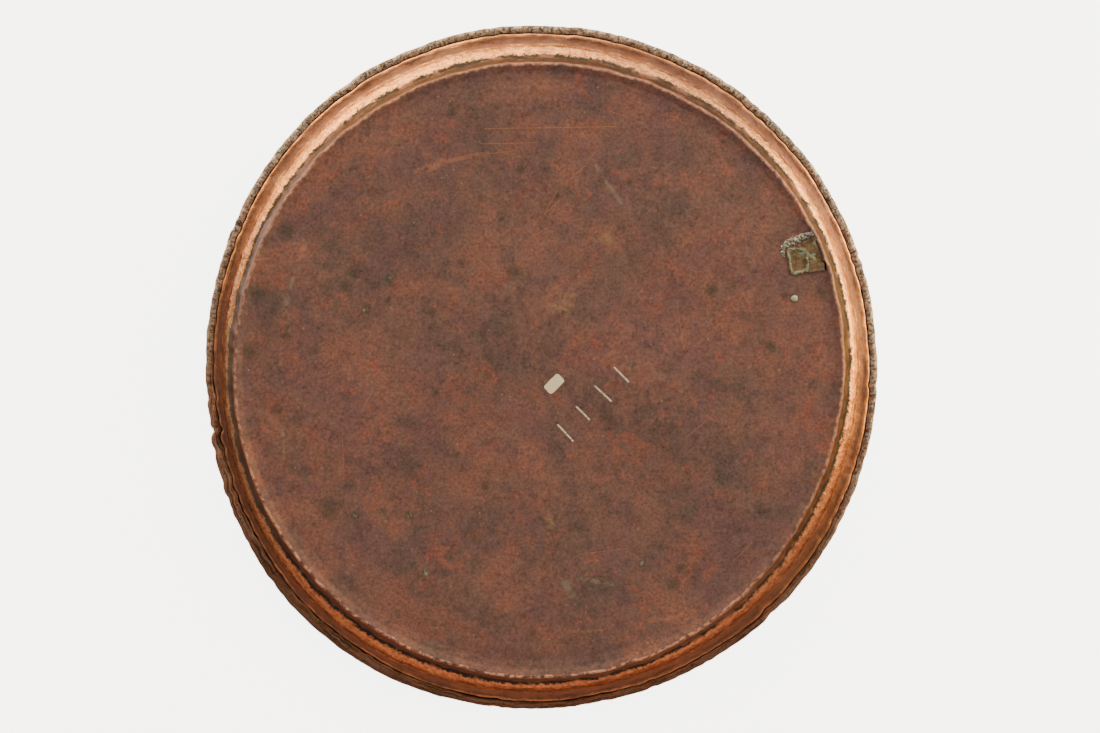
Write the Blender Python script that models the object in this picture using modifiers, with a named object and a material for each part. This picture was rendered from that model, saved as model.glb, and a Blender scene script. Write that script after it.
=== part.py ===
"""Hammered copper serving tray: one raised copper sheet with a wired hem, an iron wire
inside the hem, an old repair near the base corner, a plug rivet and a small blank label.

The tray stands on z = 0 with its open side up. Every piece is modelled in millimetres about
the axis that the sheet was raised around, and scaled to metres. Run it with
blender --background --python part.py, or from Blender's text editor.
"""

import math

import bmesh
import bpy

MM = 0.001
COLLECTION = "hammered_copper_tray"

# Driving dimensions, in millimetres.
RIM_RADIUS = 300.0
HEIGHT = 34.0
SHEET = 1.2
GAP = 0.3  # air between neighbouring pieces
WIRE_RADIUS = 2.0
WIRE_BUTT_GAP = 3.0
CORNER_RADIUS = 265.7  # outer edge of the flat ring that the tray stands on
REST_RING_WIDTH = 1.4
BASE_LIFT = 2.4  # how far the base is sunk above that ring
LIP_RADIUS = 292.8  # where the flange ends, just inside the hem

STEPS = 72  # segments round the tray
CURL_STEP = 29.0  # degrees between points of the hem

# Places that follow from them.
CURL_RADIUS = WIRE_RADIUS + GAP + 0.05
WIRE_CIRCLE = RIM_RADIUS - SHEET - CURL_RADIUS
WIRE_HEIGHT = HEIGHT - SHEET - CURL_RADIUS
UNDER_BASE = BASE_LIFT - GAP  # top of whatever is fixed under the base
ABOVE_BASE = BASE_LIFT + SHEET + GAP

# The tray is raised by hand, so it isn't truly round: (lobes, size in mm, direction in degrees).
RIM_LOBES = ((2, 2.9, 98.0), (3, 1.6, -55.0), (4, 1.0, 44.0))
BASE_LOBES = ((2, 1.7, 111.0), (3, 0.9, 33.0), (4, 0.7, -22.0))

# The repair, in millimetres from its own centre, with its axes along the tray's.
PATCH_CENTRE = (-228.6, 101.1)
PLATE_CORNERS = ((13.1, 3.3), (-8.6, 14.9), (-15.8, -12.7), (10.0, -17.0))
PLATE_THICKNESS = 1.0
FRAME_CORNERS = ((12.0, 3.0), (-2.2, 3.5), (-4.0, -17.3), (9.6, -17.3))
FRAME_WIDTH = 2.6
STRIP_CORNERS = ((-4.8, -8.2), (-18.0, -6.6), (-18.0, -13.4), (-4.8, -15.4))
FITTING_THICKNESS = 0.7  # the frame and the strip lie on the plate
FITTING_TOP = UNDER_BASE - PLATE_THICKNESS - GAP
# Centre line of the solder, as (x, y, half width).
SOLDER_LINE = (
    (12.9, -15.6, 1.2), (14.9, -12.0, 1.6), (16.2, -7.0, 1.4), (16.9, -2.2, 1.8),
    (17.9, 2.4, 1.7), (17.0, 6.6, 2.5), (13.4, 9.0, 2.1), (9.8, 10.9, 2.8),
    (5.4, 13.3, 2.3), (1.4, 15.1, 2.7), (-2.6, 17.1, 2.2), (-6.0, 18.7, 1.6),
)
SOLDER_FLATNESS = 0.32  # height of the bead over its width

RIVET_CENTRE = (-222.1, 63.0)
RIVET_HEAD_RADIUS = 3.3
RIVET_SHANK_RADIUS = 1.5
RIVET_HOLE_RADIUS = RIVET_SHANK_RADIUS + GAP

LABEL_CENTRE = (-13.5, -11.2)
LABEL_SIZE = (17.4, 9.8)
LABEL_THICKNESS = 0.3
LABEL_TURN = -45.0  # degrees about +Z


# ---------------------------------------------------------------- helpers


def clear_scene():
    for item in list(bpy.data.objects):
        bpy.data.objects.remove(item, do_unlink=True)


def new_collection(name, hidden=False):
    made = bpy.data.collections.new(name)
    bpy.context.scene.collection.children.link(made)
    made.hide_render = hidden
    return made


def metal(name, colour, roughness, metallic):
    material = bpy.data.materials.new(name)
    material.use_nodes = True
    shader = material.node_tree.nodes["Principled BSDF"]
    shader.inputs["Base Color"].default_value = (*colour, 1.0)
    shader.inputs["Roughness"].default_value = roughness
    shader.inputs["Metallic"].default_value = metallic
    return material


def add_object(name, data, collection, material=None):
    made = bpy.data.objects.new(name, data)
    collection.objects.link(made)
    if material:
        data.materials.append(material)
    return made


def evaluated_mesh(item):
    """A new mesh with the item's modifiers applied."""
    bpy.context.view_layer.update()
    graph = bpy.context.evaluated_depsgraph_get()
    return bpy.data.meshes.new_from_object(item.evaluated_get(graph))


def smooth(mesh, sharp_degrees=40.0):
    mesh.shade_smooth()
    mesh.set_sharp_from_angle(angle=math.radians(sharp_degrees))


def turned(name, profile, steps, collection, material):
    """A surface of revolution about Z from (radius, height) points in millimetres."""
    mesh = bpy.data.meshes.new(name)
    points = [(radius * MM, 0.0, height * MM) for radius, height in profile]
    edges = [(i, i + 1) for i in range(len(points) - 1)]
    mesh.from_pydata(points, edges, [])
    item = add_object(name, mesh, collection, material)
    screw = item.modifiers.new("turn", "SCREW")
    screw.axis = "Z"
    screw.angle = math.tau
    screw.steps = steps
    screw.render_steps = steps
    screw.use_merge_vertices = True
    screw.merge_threshold = 0.00001
    return item


def flat_piece(name, outlines, thickness, collection, material):
    """A flat plate from closed outlines in millimetres; a second outline is a window in it."""
    curve = bpy.data.curves.new(name, "CURVE")
    curve.dimensions = "2D"
    curve.fill_mode = "BOTH"
    curve.extrude = thickness * MM / 2
    for outline in outlines:
        spline = curve.splines.new("POLY")
        spline.points.add(len(outline) - 1)
        for point, (x, y) in zip(spline.points, outline):
            point.co = (x * MM, y * MM, 0.0, 1.0)
        spline.use_cyclic_u = True
    return add_object(name, curve, collection, material)


def rounded(corners, radius, points_per_corner=4):
    """The outline through these corners, each one softened over this distance."""
    outline = []
    for i, corner in enumerate(corners):
        ends = []
        for other in (corners[i - 1], corners[(i + 1) % len(corners)]):
            length = math.dist(corner, other)
            share = radius / length
            ends.append([c + (o - c) * share for c, o in zip(corner, other)])
        for k in range(points_per_corner):
            t = k / (points_per_corner - 1)
            weights = ((1 - t) ** 2, 2 * t * (1 - t), t**2)
            outline.append(
                [sum(w * p[axis] for w, p in zip(weights, (ends[0], corner, ends[1]))) for axis in (0, 1)]
            )
    return outline


def inset(corners, distance):
    """Corners moved in from the outline of a convex shape by this distance."""
    centre = [sum(c[axis] for c in corners) / len(corners) for axis in (0, 1)]
    moved = []
    for i, corner in enumerate(corners):
        before, after = corners[i - 1], corners[(i + 1) % len(corners)]
        inward = [0.0, 0.0]
        for other in (before, after):
            along = [(o - c) / math.dist(corner, other) for c, o in zip(corner, other)]
            inward = [total + part * distance for total, part in zip(inward, along)]
        moved.append([c + shift for c, shift in zip(corner, inward)])
        assert math.dist(moved[-1], centre) < math.dist(corner, centre)
    return moved


# ---------------------------------------------------------------- hand-raised shape


def lobe_shift(lobes, angle):
    return sum(
        size * math.cos(count * (angle - math.radians(direction)))
        for count, size, direction in lobes
    )


def hand_raised(radius, angle):
    """How far a point of the true round shape ends up from the axis, in millimetres."""
    share = min(max((radius - CORNER_RADIUS) / (LIP_RADIUS - CORNER_RADIUS), 0.0), 1.0)
    rim_share = share * share * (3 - 2 * share)
    base_share = min(radius / CORNER_RADIUS, 1.0) ** 4 * (1 - rim_share)
    return (
        radius
        + rim_share * lobe_shift(RIM_LOBES, angle)
        + base_share * lobe_shift(BASE_LOBES, angle)
    )


def step_angle(step):
    return math.tau * step / STEPS


def rim_centre():
    """Middle of the finished rim's bounding box, in millimetres."""
    ring = [
        (hand_raised(RIM_RADIUS, step_angle(i)), step_angle(i)) for i in range(STEPS)
    ]
    xs = [radius * math.cos(angle) for radius, angle in ring]
    ys = [radius * math.sin(angle) for radius, angle in ring]
    return (max(xs) + min(xs)) / 2, (max(ys) + min(ys)) / 2


# ---------------------------------------------------------------- the sheet


def sheet_profile():
    """Underside of the sheet from the centre out, then over the wire and back to the raw edge."""
    ring_start = CORNER_RADIUS - REST_RING_WIDTH
    underside = [
        (0.0, BASE_LIFT),
        (0.6 * CORNER_RADIUS, BASE_LIFT),
        (ring_start - 1.3, BASE_LIFT),
        # the proud ring that the tray stands on, and the worn base corner
        (ring_start, 0.0),
        (CORNER_RADIUS, 0.0),
        (CORNER_RADIUS + 1.4, 0.6),
        (CORNER_RADIUS + 2.3, 1.9),
        # the step wall up to the groove
        (CORNER_RADIUS + 6.0, 9.6),
        (CORNER_RADIUS + 7.4, 11.6),
        (CORNER_RADIUS + 9.0, 12.6),
        # the hollow cove
        (CORNER_RADIUS + 12.0, 14.8),
        (CORNER_RADIUS + 15.4, 18.6),
        (CORNER_RADIUS + 18.2, 22.8),
        # the flange, and the lip that was set down beside the wire
        (CORNER_RADIUS + 21.4, 24.7),
        (CORNER_RADIUS + 24.9, 26.1),
        (LIP_RADIUS, 26.4),
        (LIP_RADIUS + 0.7, 28.4),
    ]
    start, end = 167.0, -125.0
    count = round((start - end) / CURL_STEP)
    for i in range(count + 1):
        angle = math.radians(start + (end - start) * i / count)
        underside.append(
            (WIRE_CIRCLE + CURL_RADIUS * math.cos(angle), WIRE_HEIGHT + CURL_RADIUS * math.sin(angle))
        )
    return underside


def make_tray_sheet(parts, cutters, material):
    turned_sheet = turned("turned_sheet", sheet_profile(), STEPS, cutters, None)
    mesh = evaluated_mesh(turned_sheet)
    bpy.data.objects.remove(turned_sheet, do_unlink=True)
    for vertex in mesh.vertices:
        x, y, z = vertex.co
        radius = math.hypot(x, y) / MM
        if radius < GAP:
            continue
        scale = hand_raised(radius, math.atan2(y, x)) / radius
        vertex.co = (x * scale, y * scale, z)
    sheet = add_object("tray_sheet", mesh, parts, material)
    solid = sheet.modifiers.new("sheet_thickness", "SOLIDIFY")
    solid.thickness = SHEET * MM
    solid.offset = 1.0
    solid.use_even_offset = True
    solid.use_quality_normals = True
    hole = sheet.modifiers.new("rivet_hole", "BOOLEAN")
    hole.operation = "DIFFERENCE"
    hole.object = make_rivet_cutter(cutters)
    smooth(mesh, 50.0)
    return sheet


def make_rivet_cutter(cutters):
    mesh = bpy.data.meshes.new("rivet_hole_cutter")
    body = bmesh.new()
    bmesh.ops.create_cone(
        body,
        cap_ends=True,
        segments=16,
        radius1=RIVET_HOLE_RADIUS * MM,
        radius2=RIVET_HOLE_RADIUS * MM,
        depth=6.0 * SHEET * MM,
    )
    body.to_mesh(mesh)
    body.free()
    cutter = add_object("rivet_hole_cutter", mesh, cutters)
    cutter.location = [c * MM for c in (*RIVET_CENTRE, BASE_LIFT + SHEET / 2)]
    cutter.hide_render = True
    cutter.display_type = "WIRE"
    return cutter


# ---------------------------------------------------------------- the wire in the hem


def make_rim_wire(parts, material):
    """An open ring whose two ends meet at a small gap, in the middle of the first segment."""
    ring = []
    for step in range(1, STEPS + 1):
        angle = step_angle(step)
        radius = hand_raised(WIRE_CIRCLE, angle)
        ring.append((radius * math.cos(angle), radius * math.sin(angle)))
    last, first = ring[-1], ring[0]
    half_share = 0.5 - WIRE_BUTT_GAP / 2 / math.dist(first, last)
    ends = [
        [a + (b - a) * half_share for a, b in zip(near, far)]
        for near, far in ((first, last), (last, first))
    ]
    route = [ends[0], *ring, ends[1]]
    curve = bpy.data.curves.new("rim_wire", "CURVE")
    curve.dimensions = "3D"
    curve.bevel_depth = WIRE_RADIUS * MM
    curve.bevel_resolution = 2
    curve.use_fill_caps = True
    spline = curve.splines.new("POLY")
    spline.points.add(len(route) - 1)
    for point, (x, y) in zip(spline.points, route):
        point.co = (x * MM, y * MM, WIRE_HEIGHT * MM, 1.0)
    return add_object("rim_wire", curve, parts, material)


# ---------------------------------------------------------------- the repair


def make_patch_plate(parts, material):
    outline = rounded(PLATE_CORNERS, 3.0)
    plate = flat_piece("patch_plate", [outline], PLATE_THICKNESS, parts, material)
    plate.location.z = (UNDER_BASE - PLATE_THICKNESS / 2) * MM
    return plate


def make_patch_frame(parts, material):
    window = rounded(inset(FRAME_CORNERS, FRAME_WIDTH), 1.5)
    outline = rounded(FRAME_CORNERS, 3.5)
    frame = flat_piece("patch_frame", [outline, window], FITTING_THICKNESS, parts, material)
    frame.location.z = (FITTING_TOP - FITTING_THICKNESS / 2) * MM
    return frame


def make_patch_strip(parts, material):
    outline = rounded(STRIP_CORNERS, 1.0, points_per_corner=3)
    strip = flat_piece("patch_strip", [outline], FITTING_THICKNESS, parts, material)
    strip.location.z = (FITTING_TOP - FITTING_THICKNESS / 2) * MM
    return strip


def make_patch_solder(parts, material):
    """A flattened bead of uneven width."""
    widest = max(half for _, _, half in SOLDER_LINE)
    curve = bpy.data.curves.new("patch_solder", "CURVE")
    curve.dimensions = "3D"
    curve.bevel_depth = widest * MM
    curve.bevel_resolution = 2
    curve.use_fill_caps = True
    spline = curve.splines.new("POLY")
    spline.points.add(len(SOLDER_LINE) - 1)
    for point, (x, y, half) in zip(spline.points, SOLDER_LINE):
        point.co = (x * MM, y * MM, 0.0, 1.0)
        point.radius = half / widest
    bead = add_object("patch_solder", curve, parts, material)
    bead.scale.z = SOLDER_FLATNESS
    bead.location.z = (UNDER_BASE - widest * SOLDER_FLATNESS) * MM
    return bead


# ---------------------------------------------------------------- rivet and label


def make_plug_rivet(parts, material):
    """A rivet with a low head under the base and a peened one inside the tray."""
    peened_radius = 0.92 * RIVET_HEAD_RADIUS
    profile = [
        (0.0, ABOVE_BASE + 1.1),
        (0.5 * peened_radius, ABOVE_BASE + 1.0),
        (0.85 * peened_radius, ABOVE_BASE + 0.6),
        (peened_radius, ABOVE_BASE),
        (RIVET_SHANK_RADIUS, ABOVE_BASE),
        (RIVET_SHANK_RADIUS, UNDER_BASE),
        (RIVET_HEAD_RADIUS, UNDER_BASE),
        (0.88 * RIVET_HEAD_RADIUS, UNDER_BASE - 0.7),
        (0.55 * RIVET_HEAD_RADIUS, UNDER_BASE - 1.2),
        (0.0, UNDER_BASE - 1.4),
    ]
    rivet = turned("plug_rivet", profile, 16, parts, material)
    smooth(rivet.data)
    rivet.location = (RIVET_CENTRE[0] * MM, RIVET_CENTRE[1] * MM, 0.0)
    return rivet


def make_paper_label(parts, material):
    half_x, half_y = (side / 2 for side in LABEL_SIZE)
    corners = ((half_x, half_y), (-half_x, half_y), (-half_x, -half_y), (half_x, -half_y))
    label = flat_piece("paper_label", [rounded(corners, 3.2)], LABEL_THICKNESS, parts, material)
    label.location = [c * MM for c in (*LABEL_CENTRE, UNDER_BASE - LABEL_THICKNESS / 2)]
    label.rotation_euler.z = math.radians(LABEL_TURN)
    return label


# ---------------------------------------------------------------- assembly


def add_empty(name, location, parts, parent=None):
    empty = bpy.data.objects.new(name, None)
    empty.location = location
    empty.parent = parent
    parts.objects.link(empty)
    return empty


def main():
    clear_scene()
    parts = new_collection(COLLECTION)
    cutters = new_collection("cutters", hidden=True)

    copper = metal("aged_copper", (0.30, 0.115, 0.075), 0.42, 1.0)
    iron = metal("iron_wire", (0.16, 0.13, 0.11), 0.6, 1.0)
    plate_copper = metal("patch_copper", (0.24, 0.13, 0.07), 0.5, 1.0)
    frame_bronze = metal("patch_bronze", (0.27, 0.22, 0.14), 0.55, 1.0)
    strip_bronze = metal("strip_bronze", (0.25, 0.19, 0.12), 0.55, 1.0)
    solder = metal("lead_solder", (0.33, 0.32, 0.29), 0.5, 1.0)
    verdigris = metal("verdigris_rivet", (0.42, 0.50, 0.36), 0.75, 0.2)
    paper = metal("label_paper", (0.72, 0.66, 0.52), 0.85, 0.0)

    centre_x, centre_y = rim_centre()
    axis = add_empty("raising_axis", (-centre_x * MM, -centre_y * MM, 0.0), parts)
    patch = add_empty("patch_centre", [c * MM for c in (*PATCH_CENTRE, 0.0)], parts, axis)

    sheet = make_tray_sheet(parts, cutters, copper)
    sheet.modifiers["rivet_hole"].object.parent = axis
    on_axis = [
        sheet,
        make_rim_wire(parts, iron),
        make_plug_rivet(parts, verdigris),
        make_paper_label(parts, paper),
    ]
    on_patch = [
        make_patch_plate(parts, plate_copper),
        make_patch_frame(parts, frame_bronze),
        make_patch_strip(parts, strip_bronze),
        make_patch_solder(parts, solder),
    ]
    for items, parent in ((on_axis, axis), (on_patch, patch)):
        for item in items:
            item.parent = parent


main()
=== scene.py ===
"""Looks of the hammered copper tray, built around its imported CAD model.

The tray lies open side up on z = 0. The camera looks up at its underside, with +Y up in the
picture and -X to the right. The floor can be seen only from above and the backdrop only from
below, so the tray can be seen from all sides. Sizes are in millimetres unless a name says
otherwise, and MM turns them into metres.
"""
import math

import bpy
import numpy as np
from mathutils import Matrix, Vector


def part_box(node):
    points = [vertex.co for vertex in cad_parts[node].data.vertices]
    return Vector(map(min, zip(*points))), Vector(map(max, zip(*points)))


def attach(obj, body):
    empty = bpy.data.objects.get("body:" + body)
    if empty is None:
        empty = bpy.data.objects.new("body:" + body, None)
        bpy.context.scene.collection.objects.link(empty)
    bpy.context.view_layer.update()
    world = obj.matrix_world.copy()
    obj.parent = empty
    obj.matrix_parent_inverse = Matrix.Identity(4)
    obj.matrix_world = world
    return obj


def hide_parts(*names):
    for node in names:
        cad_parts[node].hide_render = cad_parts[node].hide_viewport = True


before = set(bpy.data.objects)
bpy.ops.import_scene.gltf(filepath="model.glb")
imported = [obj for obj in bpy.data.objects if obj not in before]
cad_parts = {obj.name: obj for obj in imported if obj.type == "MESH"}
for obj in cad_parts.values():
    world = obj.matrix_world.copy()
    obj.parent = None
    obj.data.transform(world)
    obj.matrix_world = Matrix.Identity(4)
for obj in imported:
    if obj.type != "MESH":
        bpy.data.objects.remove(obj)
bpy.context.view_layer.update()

MM = 0.001

# ---------------------------------------------------------------- sizes, as in the CAD model

RIM_RADIUS = 300.0
HEIGHT = 34.0
SHEET = 1.2
WIRE_RADIUS = 2.0
CORNER_RADIUS = 265.7
BASE_LIFT = 2.4
LIP_RADIUS = 292.8
CAD_STEPS = 72
CURL_RADIUS = WIRE_RADIUS + 0.35
WIRE_CIRCLE = RIM_RADIUS - SHEET - CURL_RADIUS
WIRE_HEIGHT = HEIGHT - SHEET - CURL_RADIUS
RIM_LOBES = ((2, 2.9, 98.0), (3, 1.6, -55.0), (4, 1.0, 44.0))
BASE_LOBES = ((2, 1.7, 111.0), (3, 0.9, 33.0), (4, 0.7, -22.0))

# Mesh density.
AROUND = 768  # points round the rim; it halves towards the middle of the base
FLAT_EDGE = 246.0  # the base is drawn with wide rows inside this radius
BASE_ROW = 3.2
RIM_ROW = 0.75
CURL_ROWS = 18

# Bands of the underside, by distance from the axis: (start, end, softness of the edges).
CORNER_BAND = (264.4, 267.0, 0.6)
WALL_BAND = (267.0, 271.8, 1.2)
COVE_BAND = (274.0, 283.7, 0.5)
FLANGE_BAND = (283.7, 290.2, 0.7)
LIP_BAND = (290.2, 293.3, 0.4)
HEM_START = (293.4, 294.2)
GAP_BAND = (293.5, 294.6, 0.25)  # beside the hem's raw edge

FOLDED_TOWARDS = -42.0  # direction, in degrees, where the hem is folded furthest over the flange
LOWEST_FITTING = 0.15  # nothing fixed to the underside reaches below the base corner
PLATE_THICKNESS = 0.9
STRIP_THICKNESS = 0.65
RIVET_HEAD, RIVET_SHANK = 3.0, 1.5  # radii
LABEL_HALF_LENGTH, LABEL_HALF_WIDTH = 8.7, 4.9
LABEL_TURN = -45.0  # degrees


def middle(node):
    low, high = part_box(node)
    return (low + high) / 2 / MM


# ---------------------------------------------------------------- hand-raised shape


def lobe_shift(lobes, angle):
    return sum(
        size * np.cos(count * (angle - math.radians(direction)))
        for count, size, direction in lobes
    )


def soft_step(value, low, high):
    share = np.clip((value - low) / (high - low), 0.0, 1.0)
    return share * share * (3 - 2 * share)


def angle_from(angle, place):
    """How far each angle is from this one, the short way round, in radians."""
    return np.abs((angle - place + math.pi) % math.tau - math.pi)


def running_length(points):
    """Distance along a line of points, at each of them."""
    return np.concatenate([[0], np.cumsum(np.hypot(*np.diff(points, axis=0).T))])


def read_off(points, run, places):
    """Points of a flat line at these distances along it."""
    return np.column_stack([np.interp(places, run, points[:, k]) for k in (0, 1)])


def hand_raised(radius, angle):
    """Distance from the axis of a point of the true round shape."""
    rim_share = soft_step(radius, CORNER_RADIUS, LIP_RADIUS)
    base_share = np.minimum(radius / CORNER_RADIUS, 1.0) ** 4 * (1 - rim_share)
    return (
        radius
        + rim_share * lobe_shift(RIM_LOBES, angle)
        + base_share * lobe_shift(BASE_LOBES, angle)
    )


def raising_axis():
    """Where the axis stands, so that the CAD model's bounding box is centred on the origin."""
    angle = np.arange(CAD_STEPS) * math.tau / CAD_STEPS
    ring = hand_raised(np.full(CAD_STEPS, RIM_RADIUS), angle)
    x, y = ring * np.cos(angle), ring * np.sin(angle)
    return -(x.max() + x.min()) / 2, -(y.max() + y.min()) / 2


AXIS_X, AXIS_Y = raising_axis()
PATCH_X, PATCH_Y = (middle("patch_plate")[i] - (AXIS_X, AXIS_Y)[i] for i in (0, 1))
RIVET_X, RIVET_Y = (middle("plug_rivet")[i] - (AXIS_X, AXIS_Y)[i] for i in (0, 1))
LABEL_X, LABEL_Y = (middle("paper_label")[i] - (AXIS_X, AXIS_Y)[i] for i in (0, 1))

# ---------------------------------------------------------------- repeatable unevenness


def wander(angle, slowest, fastest, seed):
    """Smooth noise round the tray, about -1 to 1, with this many waves per turn."""
    draw = np.random.default_rng(seed)
    counts = np.unique(np.geomspace(slowest, fastest, 28).round())
    total = np.zeros_like(angle)
    for count in counts:
        total += draw.normal() * np.cos(count * angle + draw.uniform(0, math.tau))
    return total / math.sqrt(len(counts))


def ripples(x, y, shortest, longest, seed, waves=36):
    """Smooth noise over the base, about -1 to 1, with wavelengths in this range."""
    draw = np.random.default_rng(seed)
    total = np.zeros_like(x)
    for _ in range(waves):
        length = math.exp(draw.uniform(math.log(shortest), math.log(longest)))
        turn, phase = draw.uniform(0, math.tau, 2)
        total += np.cos((x * math.cos(turn) + y * math.sin(turn)) * math.tau / length + phase)
    return total * math.sqrt(2 / waves)


def scatter(i, j, seed):
    """A repeatable number from 0 to 1 for each cell."""
    value = np.sin(i * 127.1 + j * 311.7 + seed * 74.7) * 43758.5453
    return value - np.floor(value)


def strikes(u, v, seed, around=None):
    """Depth of overlapping hammer marks, 0 at their edges and 1 in their middles, one a cell."""
    nearest = np.full(np.broadcast(u, v).shape, 9.0)
    cell_u, cell_v = np.floor(u), np.floor(v)
    for du in (-1, 0, 1):
        for dv in (-1, 0, 1):
            i, j = cell_u + du, cell_v + dv
            key = np.mod(i, around) if around else i
            centre_u = i + 0.5 + 0.7 * (scatter(key, j, seed) - 0.5)
            centre_v = j + 0.5 + 0.7 * (scatter(key, j, seed + 1) - 0.5)
            nearest = np.minimum(nearest, (u - centre_u) ** 2 + (v - centre_v) ** 2)
    return 1.0 - np.clip(nearest / 0.8, 0.0, 1.0)


# Deeper dents in the hem: (direction in degrees, half width in degrees, depth).
HEM_DENTS = (
    (349.3, 0.7, 2.4), (352.0, 2.6, 1.1), (345.6, 1.3, 0.9), (341.5, 1.2, 1.0), (337.0, 1.3, 0.9),
    (226.5, 1.0, 1.6), (332.3, 1.2, 0.8), (1.5, 1.4, 1.0), (9.0, 1.5, 0.9), (56.0, 1.2, 0.7),
)
HEM_BLOWS = 132


def hem_shift(angle):
    """How far the hem is beaten in (mm, negative) and down (mm) from its true place."""
    draw = np.random.default_rng(11)
    inward = 0.35 + 0.35 * wander(angle, 9, 60, 21)
    inward += 0.9 * np.exp(-(((np.degrees(angle) % 360 - 180) / 32) ** 2))
    for blow in range(HEM_BLOWS):
        place = (blow + draw.uniform(-0.3, 0.3)) * math.tau / HEM_BLOWS
        roughness = 1.0 + 0.9 * math.exp(-(((math.degrees(place) - 342) / 16) ** 2))
        roughness -= 0.6 * math.exp(-(((math.degrees(place) - 310) / 24) ** 2))
        depth = roughness * min(0.12 + draw.exponential(0.28), 1.1)
        half = math.radians(draw.uniform(0.9, 1.5))
        away = angle_from(angle, place)
        inward -= depth * np.clip(1 - (away / half) ** 2, 0, None) ** 2
    for direction, half, depth in HEM_DENTS:
        away = angle_from(angle, math.radians(direction))
        inward -= depth * np.exp(-((away / math.radians(half)) ** 2))
    return inward, 0.35 * wander(angle, 7, 90, 22)


def fold_reach(angle):
    """How far (mm) the hem's raw edge is folded inwards over the flange."""
    away = angle_from(angle, math.radians(FOLDED_TOWARDS))
    return 0.6 + 0.3 * wander(angle, 5, 20, 23) + 3.0 * np.exp(-((away / math.radians(34)) ** 4))


# ---------------------------------------------------------------- the sheet's shape

# Underside from the base corner to the foot of the hem: (radius, height).
RIM_KNOTS = (
    (FLAT_EDGE, BASE_LIFT), (252.0, BASE_LIFT), (259.0, 1.75), (263.0, 0.55), (264.7, 0.0), (265.7, 0.0),
    (267.0, 0.8), (268.0, 2.2), (271.6, 9.7), (273.1, 11.7), (274.8, 12.5), (277.7, 14.6),
    (281.1, 18.6), (283.7, 22.7), (284.6, 23.5), (287.1, 24.8), (290.4, 26.0), (291.4, 26.15),
    (292.4, 26.5), (293.1, 27.3), (293.6, 28.5), (293.9, 29.5),
)
CURL_START, CURL_END = 167.0, -136.0  # degrees about the wire


def softened_rim():
    """The underside from FLAT_EDGE to the hem as evenly spaced points with rounded corners."""
    knots = np.array(RIM_KNOTS)
    run = running_length(knots)
    step, softness, reach = 0.1, 0.55, 12
    points = read_off(knots, run, np.arange(0, run[-1], step))
    kernel = np.exp(-((np.arange(-reach, reach + 1) * step / softness) ** 2) / 2)
    kernel /= kernel.sum()
    padded = np.pad(points, ((reach, reach), (0, 0)), "reflect", reflect_type="odd")
    smooth = np.column_stack([np.convolve(padded[:, k], kernel, "valid") for k in (0, 1)])
    rows = np.linspace(0, len(smooth) - 1, int(run[-1] / RIM_ROW))
    return read_off(smooth, np.arange(len(smooth)), rows)


def base_relief(x, y):
    """Height of the base's underside above its true place."""
    radius = np.hypot(x, y)
    relief = 0.45 * ripples(x, y, 110, 320, 31) + 0.10 * ripples(x, y, 24, 70, 32)
    relief -= 0.12 * strikes(x / 13.0, y / 13.0, 33)
    return relief * (1 - soft_step(radius, 235.0, 262.0))


def patch_dent(x, y):
    """Extra lift of the base's edge round the repair, which sits in a shallow dent."""
    away = np.hypot((x - PATCH_X) / 24.0, (y - PATCH_Y) / 24.0)
    return np.exp(-(away**4))


def rim_relief(station, along, angle):
    """Dents of the stepped wall, square to it; along is the distance along the section."""
    blows = strikes(angle * 168 / math.tau, along / 8.5, 41, around=168)
    fine = strikes(angle * 400 / math.tau, along / 3.6, 43, around=400)
    weight = soft_step(station, 266.5, 269.0) * (1 - soft_step(station, 290.0, 292.0))
    return weight * (0.34 * blows + 0.10 * fine - 0.2)


def corner_shift(station, angle):
    """Radial wander of the base corner and of the groove."""
    corner = np.exp(-(((station - 265.5) / 4.0) ** 2))
    groove = np.exp(-(((station - 273.0) / 3.5) ** 2))
    crease = np.exp(-(((station - 284.0) / 2.5) ** 2))
    return (
        corner * (0.55 * wander(angle, 10, 70, 51) + 0.18 * wander(angle, 70, 220, 52))
        + groove * (0.45 * wander(angle, 12, 90, 53) + 0.22 * wander(angle, 90, 240, 54))
        + crease * 0.30 * wander(angle, 12, 90, 55)
    )


def underside_height(x, y):
    """Height of the base's underside, for what is fixed to it, within FLAT_EDGE and its edge."""
    radius = np.hypot(x, y)
    rim = softened_rim()
    plain = np.interp(radius, rim[:, 0][: len(rim) // 2], rim[:, 1][: len(rim) // 2])
    plain = np.where(radius < FLAT_EDGE, BASE_LIFT, plain)
    dent = patch_dent(x, y) * (1 - soft_step(radius, 261.5, 265.0))
    return plain + (BASE_LIFT - plain) * dent + base_relief(x, y) * (1 - patch_dent(x, y))


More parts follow.
